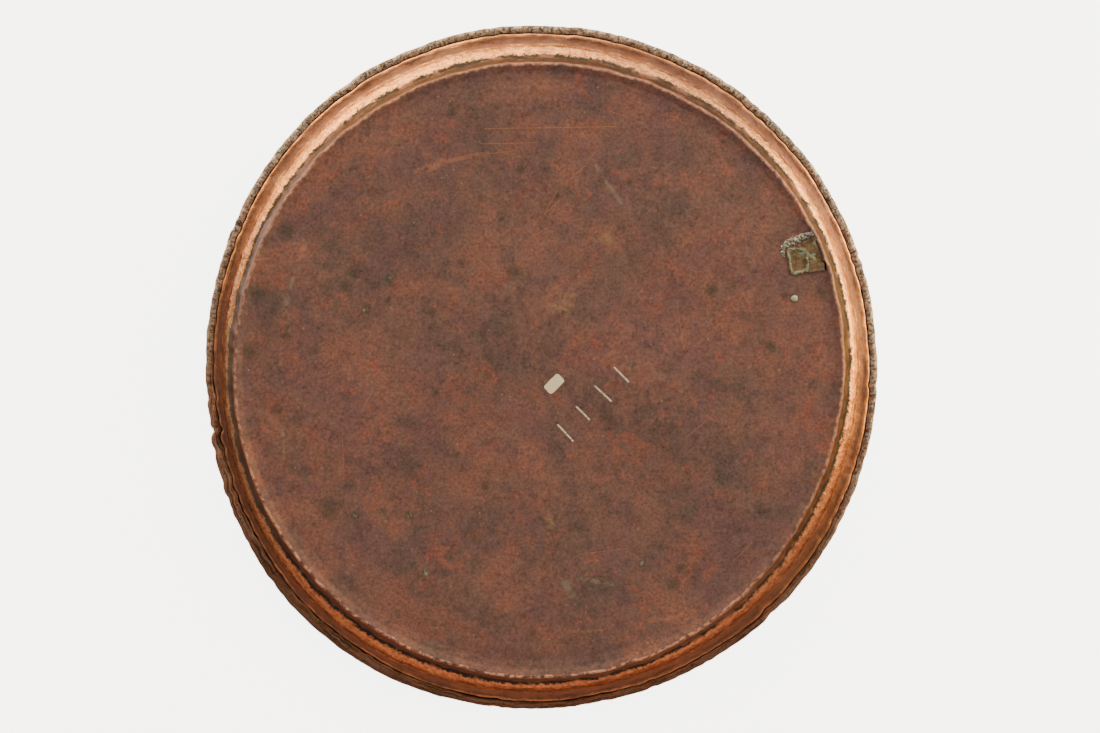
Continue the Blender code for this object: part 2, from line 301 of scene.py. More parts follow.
def sheet_rings():
    """Every ring of the sheet as (x, y, z, station, side), from the middle of the underside,
    round the hem, to the middle of the inside."""
    rings = []

    def points_around(radius):
        count = AROUND
        while count > 12 and radius * math.tau / count < 1.15:
            count //= 2
        return count

    def add(x, y, z, station, side):
        count = len(x)
        rings.append((x, y, z, np.broadcast_to(station, count), np.full(count, side)))

    flat_rows = np.arange(BASE_ROW, FLAT_EDGE - 0.5 * BASE_ROW, BASE_ROW)

    def base_ring(radius, side):
        angle = np.arange(points_around(radius)) * math.tau / points_around(radius)
        shaped = hand_raised(np.full_like(angle, radius), angle)
        x, y = shaped * np.cos(angle), shaped * np.sin(angle)
        z = underside_height(x, y)
        if side:
            z = z + SHEET + inside_relief(radius, angle)
        add(x, y, z, radius, side)

    angle = np.arange(AROUND) * math.tau / AROUND
    rim = softened_rim()
    run = running_length(rim)
    slope = np.gradient(rim, axis=0)
    slope /= np.hypot(*slope.T)[:, None]
    normal = np.column_stack([-slope[:, 1], slope[:, 0]])
    inward, down = hem_shift(angle)

    def rim_ring(i, side):
        station = rim[i, 0]
        offset = SHEET * side + rim_relief(station, run[i], angle)
        if side:
            offset = offset + inside_relief(station, angle)
        hem_share = soft_step(station, 286.0, 293.0)
        radius = rim[i, 0] + normal[i, 0] * offset
        z = rim[i, 1] + normal[i, 1] * offset + hem_share * down
        shaped = (
            hand_raised(np.full_like(angle, station), angle) - station
            + radius + hem_share * inward + corner_shift(station, angle)
            - fold_reach(angle) * soft_step(station, 285.5, 292.0)
        )
        x, y = shaped * np.cos(angle), shaped * np.sin(angle)
        if station < 266.0:
            dent = patch_dent(x, y) * (1 - soft_step(station, 261.5, 265.0))
            plain = base_relief(x, y) * (1 - patch_dent(x, y))
            z = z + (BASE_LIFT - rim[i, 1]) * dent + plain
        add(x, y, z, station, side)

    true_shift = lobe_shift(RIM_LOBES, angle) + inward
    last_angle = np.radians(
        CURL_END + 5.0 * wander(angle, 14, 60, 61) + 4.0 * wander(angle, 60, 240, 62)
    )
    first_angle = math.radians(CURL_START)

    def curl_ring(share, thickness, side):
        turn = first_angle + (last_angle - first_angle) * share
        beaten = strikes(angle * 300 / math.tau, turn / 0.75, 63, around=300)
        coarse = strikes(angle * 118 / math.tau, turn / 1.3, 64, around=118)
        ease = soft_step(share, 0.0, 0.25)
        relief = side * ease * (0.30 - 0.34 * beaten - 0.30 * coarse)
        reach = CURL_RADIUS + thickness + relief
        past = np.minimum(turn + math.pi / 2, 0.0)
        wider = 1.0 + fold_reach(angle) / 2.6 * soft_step(-past, 0.0, 0.8)
        radius = WIRE_CIRCLE + true_shift + reach * np.cos(turn) * np.where(past < 0, wider, 1.0)
        z = WIRE_HEIGHT + down + reach * np.sin(turn - past + past / wider)
        station = LIP_RADIUS + 1.5 + share * 20.0
        add(radius * np.cos(angle), radius * np.sin(angle), z, station, side)

    for radius in flat_rows:
        base_ring(radius, 0)
    for i in range(len(rim)):
        rim_ring(i, 0)
    shares = np.linspace(0, 1, CURL_ROWS)
    for share in shares[1:]:
        curl_ring(share, 0.0, 0)
    for thickness, share in ((0.25, 1.018), (0.6, 1.026), (0.95, 1.018)):
        curl_ring(share, SHEET * thickness, 1)
    for share in shares[:0:-1]:
        curl_ring(share, SHEET, 1)
    for i in reversed(range(len(rim))):
        rim_ring(i, 1)
    for radius in flat_rows[::-1]:
        base_ring(radius, 1)
    return rings


def inside_relief(station, angle):
    """Planishing marks of the inside face, in rings as a smith works them."""
    rows = station / 11.0
    count = max(6, int(station * math.tau / 12.0))
    blows = strikes(angle * count / math.tau, np.full_like(angle, rows), 71, around=count)
    return -0.30 * blows * soft_step(station, 4.0, 20.0)


def bridge(faces, start_a, count_a, start_b, count_b):
    """Faces between two rings, with the same number of points or twice as many."""
    if count_a == count_b:
        for k in range(count_a):
            n = (k + 1) % count_a
            faces.append((start_a + k, start_a + n, start_b + n, start_b + k))
    elif count_b == 2 * count_a:
        for k in range(count_a):
            n, m = (k + 1) % count_a, (2 * k + 2) % count_b
            faces.append((start_a + k, start_b + 2 * k + 1, start_b + 2 * k))
            faces.append((start_a + k, start_a + n, start_b + 2 * k + 1))
            faces.append((start_a + n, start_b + m, start_b + 2 * k + 1))
    else:
        for k in range(count_b):
            n, m = (k + 1) % count_b, (2 * k + 2) % count_a
            faces.append((start_a + 2 * k, start_a + 2 * k + 1, start_b + k))
            faces.append((start_a + 2 * k + 1, start_b + n, start_b + k))
            faces.append((start_a + 2 * k + 1, start_a + m, start_b + n))


def add_mesh(name, points, faces, material, node, attributes=()):
    """A smooth piece from points in millimetres about the raising axis."""
    mesh = bpy.data.meshes.new(name)
    placed = (np.asarray(points, float) + (AXIS_X, AXIS_Y, 0.0)) * MM
    mesh.from_pydata(placed.tolist(), [], faces)
    for key, values in attributes:
        layer = mesh.attributes.new(key, "FLOAT", "POINT")
        layer.data.foreach_set("value", np.asarray(values, np.float32))
    mesh.shade_smooth()
    mesh.materials.append(material)
    piece = bpy.data.objects.new(name, mesh)
    bpy.context.scene.collection.objects.link(piece)
    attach(piece, "root")
    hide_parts(node)
    return piece


def make_sheet(material):
    rings = sheet_rings()
    x, y, z, station, side = (np.concatenate([ring[k] for ring in rings]) for k in range(5))
    counts = [len(ring[0]) for ring in rings]
    starts = np.concatenate([[0], np.cumsum(counts)])
    faces = []
    for i in range(len(rings) - 1):
        bridge(faces, int(starts[i]), counts[i], int(starts[i + 1]), counts[i + 1])
    for start, count, flip in ((0, counts[0], 1), (int(starts[-2]), counts[-1], -1)):
        faces.append(tuple(range(start, start + count))[::-flip])
    points = np.column_stack([x, y, z])
    return add_mesh(
        "copper_sheet", points, [face[::-1] for face in faces], material,
        "tray_sheet", (("station", station), ("side", side)),
    )


# ---------------------------------------------------------------- other pieces


def lofted(sections, closed_ends=True):
    """Points and faces through rings of the same number of points."""
    count = len(sections[0])
    points = np.concatenate(sections)
    faces = []
    for i in range(len(sections) - 1):
        bridge(faces, i * count, count, (i + 1) * count, count)
    if closed_ends:
        faces.append(tuple(range(count))[::-1])
        faces.append(tuple(range((len(sections) - 1) * count, len(sections) * count)))
    return points, faces


def make_wire(material):
    """The iron ring in the hem, butted at +X, where the CAD wire has its gap."""
    gap = 3.0 / WIRE_CIRCLE
    angle = np.linspace(gap / 2, math.tau - gap / 2, AROUND // 2) + math.radians(2.5)
    inward, down = hem_shift(angle)
    circle = WIRE_CIRCLE + lobe_shift(RIM_LOBES, angle) + inward
    turn = np.arange(12) * math.tau / 12
    sections = []
    for a, radius, drop, swell in zip(angle, circle, down, wander(angle, 20, 190, 81)):
        reach = (WIRE_RADIUS + 0.06 * swell) * np.cos(turn) + radius
        height = (WIRE_RADIUS + 0.06 * swell) * np.sin(turn) + WIRE_HEIGHT + drop
        sections.append(np.column_stack([reach * math.cos(a), reach * math.sin(a), height]))
    points, faces = lofted(sections)
    return add_mesh("wire_ring", points, faces, material, "rim_wire")


def rounded_outline(corners, radius, spacing):
    """Evenly spaced points on the outline through these corners, each softened by radius."""
    path = []
    for i, corner in enumerate(corners):
        here = np.array(corner)
        ends = []
        for other in (corners[i - 1], corners[(i + 1) % len(corners)]):
            way = np.array(other) - here
            ends.append(here + way * radius / np.hypot(*way))
        for t in np.linspace(0, 1, 8):
            path.append((1 - t) ** 2 * ends[0] + 2 * t * (1 - t) * here + t**2 * ends[1])
    path = np.array(path + path[:1])
    run = running_length(path)
    count = round(run[-1] / spacing)
    return read_off(path, run, np.arange(0, run[-1], run[-1] / count)[:count])


def sheet_metal(outline, thickness, lift, seed, edge=0.3, wave=0.12):
    """A thin plate under the base: rings shrinking to its middle, under and then over."""
    centre = outline.mean(axis=0)
    under = (
        (1.0, 0.75), (0.985, 0.98), (0.95, 1.0), (0.8, 1.0), (0.6, 1.0), (0.4, 1.0), (0.2, 1.0), (0.05, 1.0),
    )
    sections = []
    for share, depth in [(s, 0.0) for s, _ in reversed(under)] + list(under):
        ring = centre + (outline - centre) * share
        ring = ring + edge * np.column_stack(
            [ripples(*ring.T, 3.0, 9.0, seed), ripples(*ring.T, 3.0, 9.0, seed + 1)]
        ) * (share > 0.9)
        top = underside_height(ring[:, 0], ring[:, 1]) - lift
        bump = wave * ripples(*ring.T, 4.0, 14.0, seed + 2) * depth
        z = np.maximum(top - thickness * depth + bump, LOWEST_FITTING)
        sections.append(np.column_stack([ring, z]))
    return lofted(sections)


def patch_outline(corners, radius, spacing=0.9):
    return rounded_outline(corners, radius, spacing) + (PATCH_FRAME_X, PATCH_FRAME_Y)


# The repair, about the same centre as in the CAD model.
PATCH_FRAME_X, PATCH_FRAME_Y = -228.6, 101.1
PLATE_CORNERS = ((13.4, 3.4), (-10.6, 16.4), (-19.4, -12.9), (10.2, -17.4))
FRAME_CORNERS = ((13.8, 6.0), (-4.4, 5.0), (-6.3, -14.6), (9.8, -18.6))
STRIP_CORNERS = ((-5.0, -8.0), (-20.6, -6.0), (-21.0, -13.2), (-5.0, -15.6))
SOLDER_LINE = (
    (14.9, -2.7, 1.0), (17.0, 0.6, 1.9), (16.8, 4.9, 2.5), (14.6, 8.2, 2.9), (11.6, 10.4, 3.1),
    (6.7, 12.6, 3.5), (0.2, 14.9, 3.4), (-5.6, 17.0, 2.6), (-8.6, 18.3, 1.9), (-10.6, 19.2, 1.1),
)


def make_patch_plate(material):
    points, faces = sheet_metal(patch_outline(PLATE_CORNERS, 3.0), PLATE_THICKNESS, 0.05, 101)
    return add_mesh("repair_plate", points, faces, material, "patch_plate")


def make_patch_frame(material):
    """A raised rim round a sunken window, open to the plate."""
    outer = patch_outline(FRAME_CORNERS, 4.0, 0.8)
    centre = outer.mean(axis=0)
    profile = (
        (1.0, 0.0), (1.01, 0.45), (0.99, 0.85), (0.93, 1.1),
        (0.86, 1.05), (0.80, 0.7), (0.74, 0.25), (0.72, 0.0),
    )
    sections = []
    for share, height in profile:
        ring = centre + (outer - centre) * share
        lumps = 0.22 * np.column_stack(
            [ripples(*ring.T, 3.0, 8.0, 121), ripples(*ring.T, 3.0, 8.0, 122)]
        )
        swell = 1.0 + 0.35 * ripples(*ring.T, 4.0, 11.0, 123)
        z = underside_height(*ring.T) - PLATE_THICKNESS - height * swell
        z = np.maximum(z, LOWEST_FITTING)
        sections.append(np.column_stack([ring + lumps, z]))
    points, faces = lofted(sections, closed_ends=False)
    count = len(outer)
    bridge(faces, (len(profile) - 1) * count, count, 0, count)
    return add_mesh("repair_frame", points, faces, material, "patch_frame")


def make_patch_strip(material):
    outline = patch_outline(STRIP_CORNERS, 1.0, 0.7)
    points, faces = sheet_metal(outline, STRIP_THICKNESS, PLATE_THICKNESS, 131, edge=0.2)
    return add_mesh("repair_strip", points, faces, material, "patch_strip")


def make_patch_solder(material):
    """A lumpy flattened bead."""
    knots = np.array(SOLDER_LINE)
    run = running_length(knots[:, :2])
    steps = np.arange(0, run[-1], 0.45)
    x, y, half = (np.interp(steps, run, knots[:, k]) for k in range(3))
    kernel = np.ones(7) / 7
    x, y = (np.convolve(np.pad(v, 3, "edge"), kernel, "valid") for v in (x, y))
    ahead = np.gradient(np.column_stack([x, y]), axis=0)
    ahead /= np.hypot(*ahead.T)[:, None]
    taper = np.sqrt(np.clip(np.minimum(steps, run[-1] - steps) / 2.0, 0.02, 1.0))
    turn = np.arange(20) * math.tau / 20
    sections = []
    for k in range(len(steps)):
        across = np.cos(turn) * half[k] * taper[k]
        px = x[k] - ahead[k, 1] * across + PATCH_FRAME_X
        py = y[k] + ahead[k, 0] * across + PATCH_FRAME_Y
        lump = ripples(px, py, 1.8, 5.0, 141)
        away = 1 + 0.12 * ripples(px, py, 1.6, 4.0, 142)
        middle_x, middle_y = x[k] + PATCH_FRAME_X, y[k] + PATCH_FRAME_Y
        px, py = middle_x + (px - middle_x) * away, middle_y + (py - middle_y) * away
        thick = (0.42 * half[k] * taper[k] + 0.25) * (1 + 0.30 * lump)
        depth = np.clip(np.sin(turn), -0.15, 1.0) * thick
        z = np.maximum(underside_height(px, py) - depth, LOWEST_FITTING)
        sections.append(np.column_stack([px, py, z]))
    points, faces = lofted(sections)
    return add_mesh("repair_solder", points, faces, material, "patch_solder")


def make_rivet(material):
    """A rivet with a battered head on each side of the sheet."""
    low = float(underside_height(np.array([RIVET_X]), np.array([RIVET_Y]))[0])
    under = ((0.05, -1.5), (0.3, -1.45), (0.55, -1.25), (0.8, -0.85), (0.95, -0.4), (1.0, 0.0))
    profile = [(RIVET_HEAD * share, low + height) for share, height in under]
    profile += [(RIVET_SHANK, low + 0.1), (RIVET_SHANK, low + SHEET)]
    profile += [
        (0.92 * RIVET_HEAD * share, low + SHEET - 0.15 - 0.7 * height) for share, height in reversed(under)
    ]
    turn = np.arange(40) * math.tau / 40
    sections = []
    for radius, height in profile:
        x, y = RIVET_X + radius * np.cos(turn), RIVET_Y + radius * np.sin(turn)
        dent = 0.10 * ripples(x, y, 1.5, 4.0, 151) * min(radius, 1.0)
        wide = 1 + 0.05 * np.cos(2 * turn + 0.6) + 0.04 * np.cos(3 * turn)
        x, y = RIVET_X + (x - RIVET_X) * wide, RIVET_Y + (y - RIVET_Y) * wide
        sections.append(np.column_stack([x, y, height + dent]))
    points, faces = lofted(sections)
    return add_mesh("rivet", points, faces, material, "plug_rivet")


def make_label(material):
    """A thin sticker with rounded corners."""
    long, wide = LABEL_HALF_LENGTH, LABEL_HALF_WIDTH
    corners = ((long, wide), (-long, wide), (-long, -wide), (long, -wide))
    shape = rounded_outline(corners, 2.6, 0.7)
    turn = math.radians(LABEL_TURN)
    spin = np.array(((math.cos(turn), math.sin(turn)), (-math.sin(turn), math.cos(turn))))
    outline = shape @ spin + (LABEL_X, LABEL_Y)
    points, faces = sheet_metal(outline, 0.14, 0.03, 161, edge=0.06, wave=0.05)
    return add_mesh("label", points, faces, material, "paper_label")


# ---------------------------------------------------------------- material helpers


class Graph:
    """The nodes of one material or world, with a short call for each kind used here."""

    def __init__(self, tree):
        self.tree = tree

    def add(self, kind, **settings):
        node = self.tree.nodes.new(kind)
        for key, value in settings.items():
            setattr(node, key, value)
        return node

    def put(self, socket, value):
        if isinstance(value, bpy.types.NodeSocket):
            self.tree.links.new(value, socket)
        elif socket.type == "RGBA" and len(value) == 3:
            socket.default_value = (*value, 1.0)
        else:
            socket.default_value = value

    def join(self, node, *values):
        """Puts the values into the node's first sockets."""
        for socket, value in zip(node.inputs, values):
            self.put(socket, value)
        return node

    def attribute(self, name):
        return self.add("ShaderNodeAttribute", attribute_name=name).outputs["Fac"]

    def place(self):
        """The point's place about the raising axis, in millimetres."""
        coordinate = self.add("ShaderNodeTexCoord").outputs["Object"]
        return self.vector("MULTIPLY_ADD", coordinate, (1 / MM,) * 3, (-AXIS_X, -AXIS_Y, 0.0)).outputs[0]

    def level(self, place):
        """The place moved straight up or down to the height of the base."""
        return self.vector("MULTIPLY_ADD", place, (1.0, 1.0, 0.0), (0.0, 0.0, BASE_LIFT)).outputs[0]

    def vector(self, operation, *values):
        return self.join(self.add("ShaderNodeVectorMath", operation=operation), *values)

    def combine(self, x, y):
        return self.join(self.add("ShaderNodeCombineXYZ"), x, y).outputs[0]

    def math(self, operation, a, b=0.0, c=0.0, clamp=False):
        node = self.add("ShaderNodeMath", operation=operation, use_clamp=clamp)
        return self.join(node, a, b, c).outputs[0]

    def times(self, a, b):
        return self.math("MULTIPLY", a, b)

    def most(self, *values):
        total = values[0]
        for value in values[1:]:
            total = self.math("MAXIMUM", total, value)
        return total

    def step(self, value, low, high, bottom=0.0, top=1.0):
        """Smoothly from bottom to top as value goes from low to high."""
        node = self.add("ShaderNodeMapRange", interpolation_type="SMOOTHSTEP")
        return self.join(node, value, low, high, bottom, top).outputs[0]

    def window(self, value, start, end, soft):
        """1 between start and end and 0 outside, with soft edges."""
        rise = self.step(value, start - soft, start + soft)
        fall = self.step(value, end - soft, end + soft, 1.0, 0.0)
        return self.times(rise, fall)

    def noise(self, place, size, detail=3.0, rough=0.55, warp=0.0, stretch=None):
        """Noise of about this many millimetres a lump, centred on 0.5."""
        if stretch:
            place = self.vector("MULTIPLY", place, stretch).outputs[0]
        node = self.add("ShaderNodeTexNoise")
        self.put(node.inputs["Vector"], place)
        node.inputs["Scale"].default_value = 1 / size
        node.inputs["Detail"].default_value = detail
        node.inputs["Roughness"].default_value = rough
        node.inputs["Distortion"].default_value = warp
        return node.outputs["Fac"]

    def spots(self, place, size, core, edge):
        """1 in a dot in each cell of this size, falling from core to edge, as shares of it."""
        node = self.add("ShaderNodeTexVoronoi")
        self.put(node.inputs["Vector"], place)
        node.inputs["Scale"].default_value = 1 / size
        return self.step(node.outputs["Distance"], core, edge, 1.0, 0.0)

    def mix(self, factor, a, b, blend="MIX"):
        node = self.add("ShaderNodeMix", data_type="RGBA", blend_type=blend)
        self.put(node.inputs["Factor"], factor)
        self.put(node.inputs["A"], a)
        self.put(node.inputs["B"], b)
        return node.outputs["Result"]

    def paint(self, under, over, mask, share=1.0):
        """The upper colour over the lower one, as much as mask times share."""
        return self.mix(self.times(mask, share), under, over)

    def blend(self, factor, a, b):
        node = self.add("ShaderNodeMix", data_type="FLOAT")
        self.put(node.inputs["Factor"], factor)
        self.put(node.inputs["A"], a)
        self.put(node.inputs["B"], b)
        return node.outputs["Result"]

    def ramp(self, factor, stops):
        """Colours, or greys given as one number, at places from 0 to 1."""
        node = self.add("ShaderNodeValToRGB")
        self.put(node.inputs[0], factor)
        ramp = node.color_ramp
        while len(ramp.elements) < len(stops):
            ramp.elements.new(0.5)
        for element, (place, colour) in zip(ramp.elements, stops):
            element.position = place
            shade = colour if isinstance(colour, tuple) else (colour,) * 3
            element.color = (*shade, 1.0)
        return node.outputs["Color"]

    def bump(self, height, distance, strength=1.0, normal=None):
        """A bump whose height of 1 stands this many millimetres proud."""
        node = self.add("ShaderNodeBump")
        node.inputs["Strength"].default_value = strength
        node.inputs["Distance"].default_value = distance * MM
        self.put(node.inputs["Height"], height)
        if normal is not None:
            self.put(node.inputs["Normal"], normal)
        return node.outputs["Normal"]

    def scratch(self, place, start, end, width):
        """1 on a thin line between two points of the base, in millimetres."""
        a, b = Vector((*start, BASE_LIFT)), Vector((*end, BASE_LIFT))
        away = self.vector("SUBTRACT", place, a).outputs[0]
        dot = self.vector("DOT_PRODUCT", away, (b - a) / (b - a).length_squared)
        share = self.math("ADD", dot.outputs["Value"], 0.0, clamp=True)
        along = self.add("ShaderNodeVectorMath", operation="SCALE")
        along.inputs[0].default_value = b - a
        self.put(along.inputs["Scale"], share)
        gap = self.vector("DISTANCE", away, along.outputs[0])
        return self.step(gap.outputs["Value"], 0.25 * width, width, 1.0, 0.0)

    def spot(self, place, centre, radius):
        """1 in the middle of a round spot on the base, falling to 0 at radius."""
        gap = self.vector("DISTANCE", place, (*centre, BASE_LIFT))
        return self.step(gap.outputs["Value"], 0.15 * radius, radius, 1.0, 0.0)

    def all_scratches(self, place, lines, *width):
        return self.most(*[self.scratch(place, *line, *width) for line in lines])

    def all_spots(self, place, spots):
        return self.most(*[self.spot(place, (x, y), radius) for x, y, radius in spots])


class Material(Graph):
    def __init__(self, name):
        self.material = bpy.data.materials.new(name)
        self.material.use_nodes = True
        super().__init__(self.material.node_tree)

    def finish(self, colour, roughness, metallic, normal):
        shader = self.tree.nodes["Principled BSDF"]
        for key, value in (
            ("Base Color", colour), ("Roughness", roughness), ("Metallic", metallic), ("Normal", normal),
        ):
            self.put(shader.inputs[key], value)
        return self.material


# ---------------------------------------------------------------- the copper

BRIGHT_COPPER = (0.90, 0.42, 0.22)
DULL_COPPER = (0.50, 0.22, 0.12)

# Dark spots on the base: (x, y, radius); two of them, at (-245, 68) and (-214, 65), darken the base on
# either side of the rivet.
DARK_SPOTS = (
    (93, 51, 7), (22, 86, 11), (130, 80, 6), (67, 94, 6), (16, 175, 6), (99, -176, 5), (-91, -168, 6),
    (-118, -186, 9), (-123, -173, 6), (47, -100, 5), (160, -126, 6), (183, -120, 14), (113, -126, 6),
    (90, -18, 5), (228, -34, 9), (-201, 22, 8), (-150, 70, 8), (50, 150, 5), (-16, 152, 5), (75, 224, 7),
    (-79, 164, 6), (218, 122, 13), (243, 67, 12), (252, 16, 10), (159, 86, 9), (167, 73, 9),
    (150, 55, 8), (131, 61, 5), (219, 31, 6), (-245, 68, 8), (-214, 65, 5), (-60, -40, 9), (71, -73, 4),
)
# Pale green crumbs in some of them, and stains: (x, y, radius).
GREEN_SPOTS = (
    (129, 80, 2.5), (-91, -168, 3.5), (99, -176, 4), (113, -126, 3), (151, 53, 2.5), (160, -126, 2.5),
)
OCHRE_STAINS = ((-12, -132, 13), (-62, 117, 14), (-20, 60, 20))
# Thin bare scratches and wider rubbed smears: (start, end, width).
SCRATCHES = (
    ((46, 210), (-67, 212), 0.75), ((50, 197), (3, 198), 0.5), ((48, 188), (10, 192), 0.45),
    ((-49, 190), (-40, 178), 0.5), ((-40, 178), (-27, 166), 0.55), ((-16, 156), (-5, 137), 0.5),
    ((-18, 148), (-4, 135), 0.55), ((-7, 124), (7, 116), 0.5), ((-36, -160), (-84, -154), 0.5),
    ((61, -48), (84, -72), 0.55), ((144, -16), (154, -35), 0.5), ((171, -52), (170, -86), 0.4),
    ((-120, 60), (-126, 20), 0.4), ((-150, -40), (-128, -58), 0.4), ((232, 98), (250, 96), 0.5),
    ((-186, -150), (-170, -166), 0.45), ((-60, 226), (-92, 214), 0.4),
)
SMEARS = (
    ((104, 173), (81, 182), 4.5), ((81, 182), (44, 189), 2.6), ((-34, 211), (-38, 204), 3.0),
    ((-97, -218), (-114, -216), 3.0), ((-116, -216), (-125, -213), 2.2), ((-25, -228), (-55, -227), 2.0),
    ((224, 14), (225, 6), 2.6), ((204, 107), (208, 98), 4.0),
)
GREY_STREAKS = (
    ((212, 85), (218, 64), 2.4), ((218, 64), (221, 52), 4.0), ((220, 50), (218, 37), 4.2),
    ((223, -52), (222, -78), 2.2), ((-32, -180), (-67, -187), 2.6), ((-24, -186), (-28, -194), 6.0),
    ((-50, 178), (-72, 145), 2.6),
)
CHALK_WIDTH = 1.15
CHALK_TICKS = (
    ((-78, -9), (-66, 3)), ((-63, -26), (-49, -13)), ((-44, -42), (-33, -31)), ((-30, -61), (-17, -47)),
)


def base_patina(g, place, level):
    """Colour of the underside's oxide skin: brown with purple, brick red and green-black clouds."""
    broad = g.noise(place, 95, 3.0, 0.6, 0.6)
    middling = g.noise(place, 34, 5.0, 0.65, 0.4)
    small = g.noise(place, 9, 6.0, 0.75, 0.3)
    grain = g.noise(place, 2.6, 4.0, 0.75)
    cloud = g.math("MULTIPLY_ADD", middling, 0.55, g.times(broad, 0.45))
    colour = g.ramp(
        cloud,
        (
            (0.35, (0.112, 0.085, 0.088)),
            (0.45, (0.158, 0.099, 0.101)),
            (0.52, (0.205, 0.112, 0.107)),
            (0.58, (0.255, 0.121, 0.107)),
            (0.68, (0.200, 0.132, 0.126)),
        ),
    )
    purple = g.step(g.noise(place, 60, 6.0, 0.65, 0.5), 0.47, 0.60)
    colour = g.paint(colour, (0.165, 0.094, 0.114), purple, 0.55)
    brick = g.step(g.noise(place, 26, 6.0, 0.75, 0.8), 0.54, 0.66)
    colour = g.paint(colour, (0.315, 0.112, 0.090), brick, 0.6)
    soot = g.step(g.math("MULTIPLY_ADD", small, 0.6, g.times(middling, 0.4)), 0.55, 0.63)
    colour = g.paint(colour, (0.074, 0.066, 0.061), soot, 0.7)
    green = g.step(g.noise(place, 14, 6.0, 0.7, 1.0), 0.60, 0.70)
    colour = g.paint(colour, (0.105, 0.104, 0.088), green, 0.5)
    ragged = g.math("MULTIPLY_ADD", g.math("SUBTRACT", small, 0.5), 3.0, 0.75)
    spots = g.all_spots(level, DARK_SPOTS)
    spots = g.math("MULTIPLY", spots, ragged, clamp=True)
    colour = g.paint(colour, (0.056, 0.058, 0.052), spots, 0.8)
    stains = g.all_spots(level, OCHRE_STAINS)
    stains = g.times(stains, g.step(small, 0.42, 0.66))
    colour = g.paint(colour, (0.330, 0.205, 0.125), stains, 0.6)
    crumbs = g.all_spots(level, GREEN_SPOTS)
    crumbs = g.times(crumbs, g.step(grain, 0.40, 0.60))
    colour = g.mix(crumbs, colour, (0.235, 0.290, 0.235))
    lift = g.math("MULTIPLY_ADD", g.math("SUBTRACT", grain, 0.5), 1.9, 1.0)
    shade = g.math("MULTIPLY_ADD", g.math("SUBTRACT", small, 0.5), 1.3, lift)
    shade = g.ramp(g.times(shade, 0.5), ((0.0, 0.0), (1.0, 2.0)))
    colour = g.mix(1.0, colour, shade, "MULTIPLY")
    flecks = g.spots(place, 9.0, 0.05, 0.11)
    flecks = g.times(flecks, g.step(g.noise(place, 22, 2.0), 0.52, 0.60))
    colour = g.paint(colour, (0.42, 0.33, 0.26), flecks, 0.6)
    return colour, small, grain


def worn_marks(g, place, level, small):
    """Bare scratches, rubbed smears and grey streaks on the base, and pale chalk ticks."""
    broken = g.step(g.noise(place, 4.0, 3.0), 0.30, 0.50, 0.25, 1.0)
    scratches = g.all_scratches(level, SCRATCHES)
    scratches = g.times(scratches, broken)
    smears = g.all_scratches(level, SMEARS)
    smears = g.times(smears, g.step(small, 0.36, 0.62))
    streaks = g.all_scratches(level, GREY_STREAKS)
    streaks = g.times(streaks, g.step(small, 0.40, 0.60))
    chalk = g.all_scratches(level, CHALK_TICKS, CHALK_WIDTH)
    chalk = g.times(chalk, g.step(g.noise(place, 1.2, 3.0), 0.34, 0.50))
    return scratches, smears, streaks, chalk


def towards(g, x_y, direction, start, end):
    """1 in the sector about this direction (degrees), by the cosine of the angle from it."""
    turn = math.radians(direction)
    facing = g.vector("DOT_PRODUCT", x_y, (math.cos(turn), math.sin(turn), 0.0))
    return g.step(facing.outputs["Value"], start, end)


